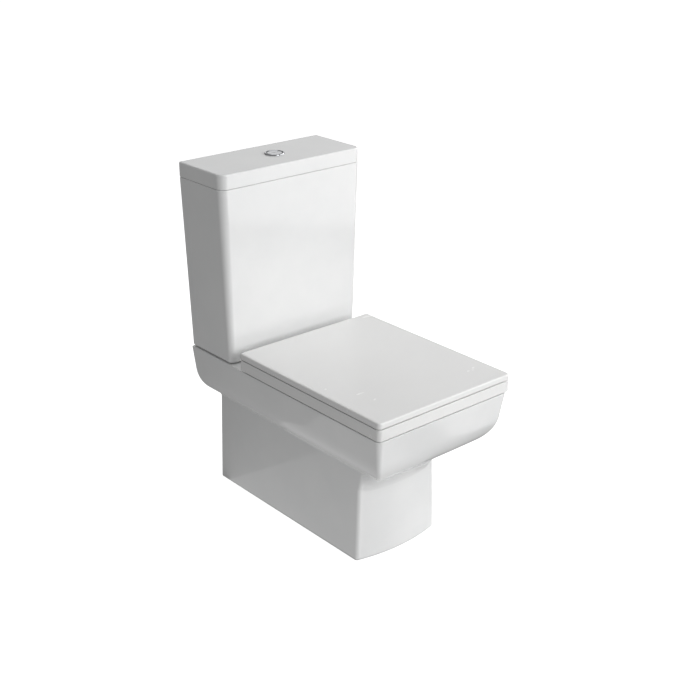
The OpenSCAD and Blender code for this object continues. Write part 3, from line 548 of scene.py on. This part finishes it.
def smooth_curve(x, X, Y):
    """Monotone cubic through the points."""
    h, dl = np.diff(X), np.diff(Y) / np.diff(X)
    m = np.zeros(len(X))
    m[1:-1] = [0 if a * b <= 0 else 3 * (p + q) / ((2 * q + p) / a + (q + 2 * p) / b)
               for a, b, p, q in zip(dl, dl[1:], h, h[1:])]
    m[0], m[-1] = dl[0], dl[-1]
    i = int(np.clip(np.searchsorted(X, x) - 1, 0, len(X) - 2))
    t = (x - X[i]) / h[i]
    return ((1 + 2 * t) * (1 - t) ** 2 * Y[i] + t * (1 - t) ** 2 * h[i] * m[i]
            + t * t * (3 - 2 * t) * Y[i + 1] + t * t * (t - 1) * h[i] * m[i + 1])


def bowl_ring(z, t):
    """Bowl at height z, made larger by t; a shell also hangs lower by t."""
    k = float(smooth_curve(z, BOWL_Z, BOWL_K))
    hw, hl = max(BOWL_HW * k ** BOWL_FULL, BOWL_MIN) + t, max(BOWL_HL * k, BOWL_MIN) + t
    return egg(hw, hl, BOWL_Y + (1 - k) * BOWL_BACK, BOWL_POWER, z - (t if t > 0 else 0))


bowl_levels = list(np.arange(BOWL_FOOT, SHELL_TOP, BOWL_STEP))
shell = loft("bowl_shell", [bowl_ring(z, CHINA_T) for z in bowl_levels + [SHELL_TOP]], BARE)
for v in shell.data.vertices:   # the shell's upper end runs into the rim's underside
    if v.co.z > SHELL_EDGE / PER_M:
        v.co.z = (RIM - 4) / PER_M

TRAP_R, TRAP_BEND, SUMP_Z, TRAP_CREST = 26, 44, 112, 215
trap_path = rounded_path([(BOWL_Y + 30, SUMP_Z), (BOWL_Y + 94, SUMP_Z), (BOWL_Y + 170, TRAP_CREST),
                          (BOWL_Y + 240, OUTLET_Z), (WALL - 110, OUTLET_Z)], TRAP_BEND)
add(shell, sweep("trap_shell", trap_path, TRAP_R + CHINA_T, index=BARE))
# the well under the flush valve and the channel from it to the bowl
WAY_HW, WAY_Z0, WAY_Z1, WAY_T = 35, 321, 351, 9     # half width, floor and roof, wall
WAY_OUT, WAY_BOTTOM = WAY_HW + WAY_T, WAY_Z0 - WAY_T
add(shell, lathe("well_shell", [(WAY_OUT, WAY_BOTTOM), (WAY_OUT, RIM - 6)], (0, VALVE_Y, 0), index=BARE))
add(shell, box("chan_shell", (-WAY_OUT, BOWL_Y + 135, WAY_BOTTOM + 0.5), (WAY_OUT, VALVE_Y, RIM - 6.5), BARE))
# a web that carries the outlet, and a rib under the bowl
WEB_HW, RIB_HW = 115, 6
add(shell, box("web", (-WEB_HW, BOWL_Y + 236, 1), (WEB_HW, BOWL_Y + 248, OUTLET_Z), BARE))
add(shell, box("rib", (-RIB_HW, BOWL_Y - 30, 1.2), (RIB_HW, BOWL_Y + 80, SUMP_Z), BARE))
inside = loft("inside", [pan_ring(z, 3, 8) for z in [-4] + pan_levels(RIM - 6) + [RIM - 5]], BARE)
for v in inside.data.vertices:
    v.co.y = min(v.co.y, (WALL - 0.4) / PER_M)
cut(shell, inside, "INTERSECT")
spigot = [(33, WALL - 132), (51, WALL - 96), (51, WALL - 27), (50.6, WALL - 25), (49, WALL - 24)]
add(shell, lathe("spigot", spigot, (0, 0, OUTLET_Z), "y", 72, BARE))
for s in SIDES:                 # lugs for the floor screws
    x = s * (SCREW_X + 2)
    add(shell, box("lug", (x - LUG, SCREW_Y - LUG, 0.5), (x + LUG, SCREW_Y + LUG, LUG), BARE))
add(pan, shell)

LIP = 6                         # rounding of the bowl's edge
flare = [(z, 0) for z in bowl_levels + [366.0]] + quarter(RIM - LIP, LIP, LIP, n=5)
cut(pan, loft("bowl_in", [[(x, y, z) for x, y, _ in bowl_ring(min(z, BOWL_TOP), t)] for z, t in flare]
              + [[(x, y, RIM + 4) for x, y, _ in bowl_ring(BOWL_TOP, LIP)]]))
cut(pan, sweep("trap_in", trap_path, TRAP_R))
cut(pan, box("chan_in", (-WAY_HW, BOWL_Y + 133, WAY_Z0), (WAY_HW, VALVE_Y, WAY_Z1)))
spigot_in = [(23, WALL - 134), (42, WALL - 96), (42, WALL - 27), (43.5, WALL - 24), (43.6, WALL)]
cut(pan, lathe("spigot_in", spigot_in, (0, 0, OUTLET_Z), "y", 72, BARE))
well_in = [(WAY_HW, WAY_Z0), (WAY_HW, RIM - 3), (WAY_HW + 1, RIM - 0.9), (WAY_HW + 3, RIM),
           (WAY_HW + 3, RIM + 9)]
cut(pan, lathe("well_in", well_in, (0, VALVE_Y, 0)))


BOLT_R, NUT_R, BORE_DEPTH = 7, 24.4, 40     # holes for bolts and studs, and for the fill valve's nut


def bore(x, y, r, lip=1.2):
    """Hole down through the pan's deck, with a rounded lip."""
    prof = [(r, RIM - BORE_DEPTH), (r, RIM - lip), (r + lip * 0.3, RIM - lip * 0.3), (r + lip, RIM),
            (r + lip, RIM + 8)]
    cut(pan, lathe("bore", prof, (x, y, 0), n=40, index=BARE))


countersunk = [(4.5, -1), (4.5, LUG - 2.5), (7.5, LUG + 0.5), (7.5, LUG + 18)]
for s in SIDES:
    bore(s * BOLT_X, VALVE_Y, BOLT_R)
    bore(s * POST_X, HINGE_Y, BOLT_R)
    cut(pan, lathe("screw", countersunk, (s * SCREW_X, SCREW_Y, 0), n=32, index=BARE))
bore(INLET_X, VALVE_Y, NUT_R)
FOOT_TOUCH, FACES_DOWN = 0.0009, -0.5       # metres over the floor, and the normal's z
for p in pan.data.polygons:     # the foot is wiped clean of glaze before firing
    if p.center.z < FOOT_TOUCH and p.normal.z < FACES_DOWN:
        p.material_index = BARE
polish(pan, CHINA, 34)
place(pan, "toilet", "china", "pan", "bowl_shell", "flush_channel", "trapway", "foot")


# ---------------------------------------------------------------- cistern
CIS_Z, CIS_TOP = cis_lo[2], cis_hi[2]
CIS_W0, CIS_D0 = 184.0, 157.0               # half width and depth at the foot
FLUSH = 1.1                                 # brings the top out to the lid's faces
CIS_W1, CIS_D1 = cis_hi[0] + FLUSH, WALL - cis_lo[1] + FLUSH
CIS_T = 9                                   # wall
CIS_EDGE, CIS_FOOT = 1.8, 3                 # roundings
CIS_CORNER, CIS_SWELL, CIS_BACK, CAVITY_CORNER = 13, 5, 6, 8    # the front corners grow upwards
TAIL_R, SHANK_R = 31.5, 11.8                # holes for the flush valve's tail and the fill valve's shank
WALL_SCREW_R, WALL_SCREW_X, WALL_SCREW_Z = 4, 110, CIS_TOP - 48


def cis_ring(z, t=0.0, back=0.0, extra=0.0, rmin=3.0):
    """Outline of the cistern: t off the front and sides, back off the back, extra for a rounding."""
    f = (z - CIS_Z) / (CIS_TOP - CIS_Z)
    return outline(CIS_W0 + f * (CIS_W1 - CIS_W0) - t - extra,
                   WALL - (CIS_D0 + f * (CIS_D1 - CIS_D0)) + t + extra,
                   WALL - back - min(extra, 1.5), max(CIS_CORNER + CIS_SWELL * f - t - extra, rmin),
                   max(CIS_BACK - t, 3), z, nf=8, ns=6, nc=12)


cis_foot = quarter(CIS_Z + CIS_FOOT, CIS_FOOT, CIS_FOOT, False)
cis = loft("cistern_china", [cis_ring(z, extra=x) for z, x in cis_foot]
           + [cis_ring(z) for z in np.linspace(CIS_Z + 40, CIS_TOP - 40, 8)]
           + [cis_ring(z, extra=x) for z, x in quarter(CIS_TOP - CIS_EDGE, CIS_EDGE, CIS_EDGE)])
TANK_FLOOR = CIS_Z + 34
cove = ((0, 16), (1.2, 11), (3.5, 7), (8, 3), (16, 0.6))
cavity = [cis_ring(TANK_FLOOR + z, CIS_T + x, CIS_T + x * 0.7, rmin=CAVITY_CORNER) for z, x in cove]
cavity += [cis_ring(z, CIS_T, CIS_T, rmin=CAVITY_CORNER)
           for z in np.linspace(TANK_FLOOR + 30, CIS_TOP - 10, 8)]
mouth = ((-3, CIS_T), (-0.8, 8.2), (0, 7), (5, 7))
cavity += [cis_ring(CIS_TOP + z, t, t, rmin=CAVITY_CORNER) for z, t in mouth]
cut(cis, loft("cavity", cavity, BARE))
# the hollow in the cistern's foot, round the coupling
recess = ((-1, 9.5, 9.5), (0, 9.8, 9.8), (2, 11, 11), (18, 11.5, 11), (24, 14, 14))
cut(cis, loft("recess", [cis_ring(CIS_Z + z, t, back) for z, t, back in recess], BARE))
for name, r, x, n in (("tail_hole", TAIL_R, 0, 56), ("inlet_hole", SHANK_R, INLET_X, 40)):
    cut(cis, lathe(name, [(r, CIS_Z), (r, CIS_Z + 60)], (x, VALVE_Y, 0), n=n, index=BARE))
for s in SIDES:
    at = (s * WALL_SCREW_X, WALL - 5, WALL_SCREW_Z)
    cut(cis, lathe("fix", [(WALL_SCREW_R, -40), (WALL_SCREW_R, 40)], at, "y", 32, BARE))
polish(cis, CHINA, 34)
place(cis, "toilet", "china", "cistern")


# ---------------------------------------------------------------- cistern lid
LID_Z, LID_TOP, LID_D = lid_lo[2] + 9, 820.0, WALL - lid_lo[1]
BUTTON = (9.0, WALL - LID_D / 2, LID_TOP)
LID_EDGE, LID_UNDER, LID_CORNER, LID_BACK = 3.4, 1.8, 19, 6     # roundings


def lid_ring(z, t=0.0, extra=0.0, rmin=4.0):
    """Outline of the cistern's lid: t off all sides, extra for a rounding."""
    return outline(lid_hi[0] - t - extra, WALL - LID_D + t + extra, WALL - t - extra,
                   max(LID_CORNER - t - extra, rmin), max(LID_BACK - t - extra, 2.5), z, nf=8, ns=6, nc=12)


lid_foot = quarter(LID_Z + LID_UNDER, LID_UNDER, LID_UNDER, False, 4)
lid = loft("cistern_lid_china", [lid_ring(z, extra=x) for z, x in lid_foot]
           + [lid_ring(LID_Z + z) for z in (8, 16, 24)]
           + [lid_ring(z, extra=x) for z, x in quarter(LID_TOP - LID_EDGE, LID_EDGE, LID_EDGE)])
# a lip under the lid stands inside the cistern's mouth
lip = ((-9, 14), (-7.5, 12.7), (-6.5, 12.5), (5, 12.5))
add(lid, loft("lip", [lid_ring(LID_Z + z, t) for z, t in lip], BARE))
under = ((LID_Z - 10, 17.5), (LID_Z - 7.8, 18.5), (LID_TOP - 14, 18.5), (LID_TOP - 10, 20), (LID_TOP - 9, 24))
cut(lid, loft("under", [lid_ring(z, t) for z, t in under], BARE))
button_hole = [(20, LID_TOP - 30), (20, LID_TOP - 1.6), (20.5, LID_TOP - 0.5), (21.6, LID_TOP),
               (21.6, LID_TOP + 9)]
cut(lid, lathe("button_hole", button_hole, (BUTTON[0], BUTTON[1], 0), n=56))
polish(lid, CHINA, 34)
place(lid, "cistern_cover", "china", "cistern_lid")


# ---------------------------------------------------------------- push button
# profiles are (radius, height over the lid's top)
THREAD_R, THREAD_H, THREAD_Z, TURNS = 19.5, 0.45, -33.6, 15
thread = [(THREAD_R - THREAD_H * (j % 2), THREAD_Z + j) for j in range(2 * TURNS)]
collar = [(19.5, -0.5), (19.8, 0), (23.2, 0), (23.5, 0.35), (23.45, 1.1), (23.2, 1.8), (22.7, 2.4),
          (22, 2.85), (21.3, 3), (20.7, 2.9), (20.2, 2.6), (19.4, 1.9), (18.6, 1.3), (18.15, 0.9), (18, 0.4)]
bezel = hoop("button_bezel_ring", [(18, -34), (19, -34)] + thread + collar, BUTTON)
polish(bezel, ("chrome",), 40)
place(bezel, "cistern_cover", "chrome", "button_bezel")

# the button's cap: a dished disc with a thin skirt; a plug fills the pinhole that hoop leaves in it
cap = [(15.7, -13), (16.6, -13), (17.5, -12.4), (17.5, 1.0), (17.35, 1.45), (17.0, 1.8), (16.4, 2.0),
       (15.6, 1.96), (14, 1.78), (10, 1.5), (5, 1.35), (0.4, 1.32), (0.4, -1.5), (15.0, -1.5), (15.7, -2.2)]


def button(name, node, body, rear):
    """One half of the dished button, cut off at the CAD half's straight edge."""
    lo, hi = mmbox(node)
    o = hoop(name, cap, BUTTON)
    add(o, lathe("plug", [(0.8, -1.5), (0.8, 1.32)], BUTTON, n=24))
    add(o, lathe("pad", [(11.5, -6), (12, -5.5), (12, -1.4)], BUTTON, n=40))
    (x, y, z), reach = BUTTON, 30
    y0, y1 = (lo[1], y + reach) if rear else (y - reach, hi[1])
    cut(o, box("half", (x - reach, y0, z - 40), (x + reach, y1, z + 20)), "INTERSECT")
    polish(o, ("chrome",), 40, 0.9, 3, 55)
    place(o, body, "chrome", node)


button("full_button_cap", "full_flush_button", "full_button", False)
button("half_button_cap", "half_flush_button", "half_button", True)


# ---------------------------------------------------------------- seat and seat lid
SEAT_HW, SEAT_BACK, SEAT_CORNER = seat_hi[0], WALL - 196, 9.0
RING_Z, RING_TOP, COVER_Z, COVER_TOP = RIM + 4.5, RIM + 29.5, RIM + 32, RIM + 45
NOTCH_IN, NOTCH_OUT = 41.5, 88.0            # the hinge notches, from the middle
HOLE_Y, HOLE_HW, HOLE_HL, HOLE_POWER = FRONT + 186, 111, 146, 0.72
BARREL_R, PIN_R, HEEL_R = 10, 4.06, 14.6    # hinge barrels, their bores, the ring's rounded heel
BARREL, PIN = 20, (77.5, 105.5)             # length of the ring's barrels, ends of their bores
ARM = (NOTCH_IN + 1, NOTCH_IN + 18)         # ends of the lid's arms
ARM_PIN = (NOTCH_IN - 5, NOTCH_IN + 23)
# under ring and lid: bosses, in from the side, ribs, and half the width of the block round the hinge;
# along the part they stand at shares of the wall's distance
RING_BOSS, RING_BOSS_Y, RIB_Y, RIB_STEP, RIB_T = 34, (-0.62, 0.1), -0.78, 0.26, 3
LID_BOSS, LID_BOSS_Y, LID_RIBS, LID_RIB_T = 26, (-0.7, 0.02), (-120, -60, 0, 60, 120), 2.4
RING_BLOCK, LID_BLOCK = 117.5, 122.5


def seat_ring_at(z, t=0.0, rmin=2.0):
    """Outline that ring and lid share, with t taken off."""
    r = max(SEAT_CORNER - t, rmin)
    return outline(SEAT_HW - t, FRONT + t, SEAT_BACK - t, r, r, z, nf=10, ns=10, nc=9, nb=9)


def hole_ring(z, t):
    """The ring's opening, made larger by t."""
    return egg(HOLE_HW + t, HOLE_HL + t, HOLE_Y, HOLE_POWER, z, 96)


def hinge_rod(name, r, x0, x1, n):
    """Cylinder on the hinge's axis."""
    k = lathe(name, [(r, x0), (r, x1)], n=n)
    axis = Matrix.Translation((0, HINGE_Y / PER_M, HINGE_Z / PER_M))
    k.data.transform(axis @ Matrix.Rotation(rad(90), 4, "Y"))
    return k


ring = loft("seat_ring_moulding", [seat_ring_at(z, x) for z, x in quarter(RING_Z + 0.9, 0.8, 0.9, False)]
            + [seat_ring_at(RING_Z + z) for z in (8, 16)]
            + [seat_ring_at(z, x) for z, x in quarter(RING_TOP - 1, 1, 1)])
# the ring is moulded hollow from below, with bosses for its buffers and ribs across
well = loft("ring_under", [seat_ring_at(RING_Z + z, t, 3) for z, t in ((-1, 6), (13, 6.6), (16, 9))])
cut(well, loft("ring_inner", [hole_ring(RING_Z + z, t) for z, t in ((-2, 6), (10, 7), (25, 11))]))
cut(well, box("hinge_block", (-RING_BLOCK, HINGE_Y - 20, RING_Z - 2),
              (RING_BLOCK, HINGE_Y + 40, RING_Z + 38)))
boss = [(11, RING_Z - 2), (11, RING_Z + 13), (13, RING_Z + 17)]
for s in SIDES:
    for y in RING_BOSS_Y:
        cut(well, lathe("boss", boss, (s * (SEAT_HW - RING_BOSS), y * WALL, 0), n=40))
for i in range(4):
    y = (RIB_Y + RIB_STEP * i) * WALL
    cut(well, box("rib", (-SEAT_HW, y, RING_Z + 1.5), (SEAT_HW, y + RIB_T, RING_Z + 30)))
cut(ring, well)
hole = [(RING_Z - 1, 3.4), (RING_Z, 2.4), (RING_Z + 1, 1.2), (RING_Z + 3, 0.3), (RING_Z + 6, 0),
        (RING_Z + 14, 0.2)]
hole += [(z, 0.3 + t) for z, t in quarter(RING_TOP - 9, 9.5, 9, n=9)[1:]] + [(RING_TOP + 4, 9.8)]
cut(ring, loft("hole", [hole_ring(z, t) for z, t in hole]))
for s in SIDES:
    x0, x1 = sorted((s * NOTCH_IN, s * NOTCH_OUT))
    cut(ring, box("notch", (x0, HINGE_Y - 14, RING_Z - 5), (x1, HINGE_Y + 66, RING_Z + 55)))
heel = box("heel", (-SEAT_HW - 5, HINGE_Y, HINGE_Z - 40), (SEAT_HW + 5, HINGE_Y + 60, HINGE_Z + 40))
cut(heel, hinge_rod("heel_round", HEEL_R, -SEAT_HW - 20, SEAT_HW + 20, 96))
cut(ring, heel)
for s in SIDES:
    add(ring, hinge_rod("rod", BARREL_R, *sorted((s * NOTCH_OUT, s * (NOTCH_OUT + BARREL))), 56))
for s in SIDES:
    cut(ring, hinge_rod("rod", PIN_R, *sorted((s * PIN[0], s * PIN[1])), 56))
polish(ring, ("seat_white",), 30)
place(ring, "seat", "seat_white", "seat_ring")

cover = loft("seat_lid_moulding", [seat_ring_at(z, x) for z, x in quarter(COVER_Z + 0.8, 0.8, 0.8, False)]
             + [seat_ring_at(COVER_Z + 6)]
             + [seat_ring_at(z, x) for z, x in quarter(COVER_TOP - 3.2, 3.6, 3.2, True, 8)])
tray = loft("tray", [seat_ring_at(COVER_Z + z, t, 3) for z, t in ((-1, 7), (5, 7.6), (7, 9.5))])
cut(tray, box("hinge_block", (-LID_BLOCK, HINGE_Y - 22, COVER_Z - 2),
              (LID_BLOCK, HINGE_Y + 38, COVER_Z + 28)))
for x in LID_RIBS:
    cut(tray, box("rib", (x - LID_RIB_T / 2, FRONT, COVER_Z + 2), (x + LID_RIB_T / 2, WALL, COVER_Z + 22)))
boss = [(9, COVER_Z - 2), (9, COVER_Z + 4), (11, COVER_Z + 8)]
for s in SIDES:
    for y in LID_BOSS_Y:
        cut(tray, lathe("boss", boss, (s * (SEAT_HW - LID_BOSS), y * WALL, 0), n=40))
cut(cover, tray)
for s in SIDES:                 # the two arms that reach down to the hinge pins
    x0, x1 = sorted((s * ARM[0], s * ARM[1]))
    arm = box("arm", (x0, HINGE_Y - 10, HINGE_Z), (x1, HINGE_Y + 9, COVER_Z + 3))
    add(arm, hinge_rod("rod", BARREL_R, x0, x1, 56))
    add(cover, arm)
for s in SIDES:
    cut(cover, hinge_rod("rod", PIN_R, *sorted((s * ARM_PIN[0], s * ARM_PIN[1])), 56))
polish(cover, ("seat_white",), 30)
place(cover, "lid", "seat_white", "seat_lid")


# ---------------------------------------------------------------- the CAD nodes that stay
slots = {s["node"]: s["material_slot"] for s in frame["record"]["subparts"]}
for n, o in frame["nodes"].items():
    o.data.materials.clear()
    o.data.materials.append(M[slots[n]])


# ---------------------------------------------------------------- stage, in metres
STAGE = 30                      # half width of the floor, and height of the surround
pale = Mat("pale_floor", **{"Roughness": 0.6, "Base Color": (0.5, 0.5, 0.5, 1),
                            "Emission Color": (1, 1, 1, 1), "Emission Strength": 0.92})


def stage_mesh(name, heights, faces):
    """Pale faces between the corners of a square at these heights."""
    me = bpy.data.meshes.new(name)
    plan = ((-STAGE, -STAGE), (STAGE, -STAGE), (STAGE, STAGE), (-STAGE, STAGE))
    me.from_pydata([(x, y, z) for z in heights for x, y in plan], [], faces)
    o = bpy.data.objects.new(name, me)
    bpy.context.scene.collection.objects.link(o)
    me.materials.append(pale.m)
    # it throws no light on the china
    o.visible_diffuse = o.visible_glossy = False
    return o


floor = stage_mesh("floor", (0,), [(0, 1, 2, 3)])

# a pale surround, seen only by the camera
walls_and_top = [(0, 4, 5, 1), (1, 5, 6, 2), (2, 6, 7, 3), (3, 7, 4, 0), (4, 7, 6, 5)]
backdrop = stage_mesh("backdrop", (0, STAGE), walls_and_top)
backdrop.visible_transmission = backdrop.visible_shadow = False


# ---------------------------------------------------------------- light and camera
world = bpy.data.worlds.new("studio")
bpy.context.scene.world = world
world.use_nodes = True
sky = world.node_tree.nodes["Background"]
sky.inputs["Color"].default_value = (1, 1, 1, 1)
sky.inputs["Strength"].default_value = 0.262
bpy.context.scene.view_settings.view_transform = "Standard"


def area(name, loc, aim, width, power, height=None):
    """Soft box of this width and height in metres and power in watts."""
    d = bpy.data.lights.new(name, "AREA")
    d.energy, d.size = power, width
    if height:
        d.shape, d.size_y = "RECTANGLE", height
    o = bpy.data.objects.new(name, d)
    bpy.context.scene.collection.objects.link(o)
    o.location = loc
    o.visible_camera = False
    o.rotation_euler = (Vector(aim) - Vector(loc)).to_track_quat("-Z", "Y").to_euler()
    return o


BODY = (0, -0.1, 0.4)           # where the lights aim
area("top", (0.1, -0.1, 2.8), (0, 0, 0.4), 2.2, 9.6)
area("front", (0.1, -3.4, 1.7), BODY, 2.0, 54)
area("key", (2.3, -2.4, 1.5), BODY, 1.6, 34.5)
area("side", (2.6, -0.3, 1.3), BODY, 1.6, 35)
area("rim", (1.6, 1.9, 1.6), BODY, 1.6, 4.2)
area("bounce", (-0.6, -0.5, 0.003), (-0.6, -0.5, 1), 1.6, 2.7)
# white cards that only show in the glaze
area("card", (1.05, -1.14, 0.42), (0.372, -0.405, 0.42), 1.8, 6.7, 0.65).visible_diffuse = False
area("card_low", (0.8, -0.9, 0.004), (0.8, -0.9, 1), 0.9, 2.5, 0.9).visible_diffuse = False

ELEVATION, AZIMUTH = 23.157, 40.582         # of the photograph's view, degrees
cam = bpy.data.objects.new("cam", bpy.data.cameras.new("cam"))
bpy.context.scene.collection.objects.link(cam)
cam.location = (-1.6508, -1.9502, 1.5114)
cam.rotation_euler = (rad(90 - ELEVATION), 0, rad(-AZIMUTH))
cam.data.sensor_width = 36
cam.data.lens = 63.47
cam.data.clip_end = 100
bpy.context.scene.camera = cam
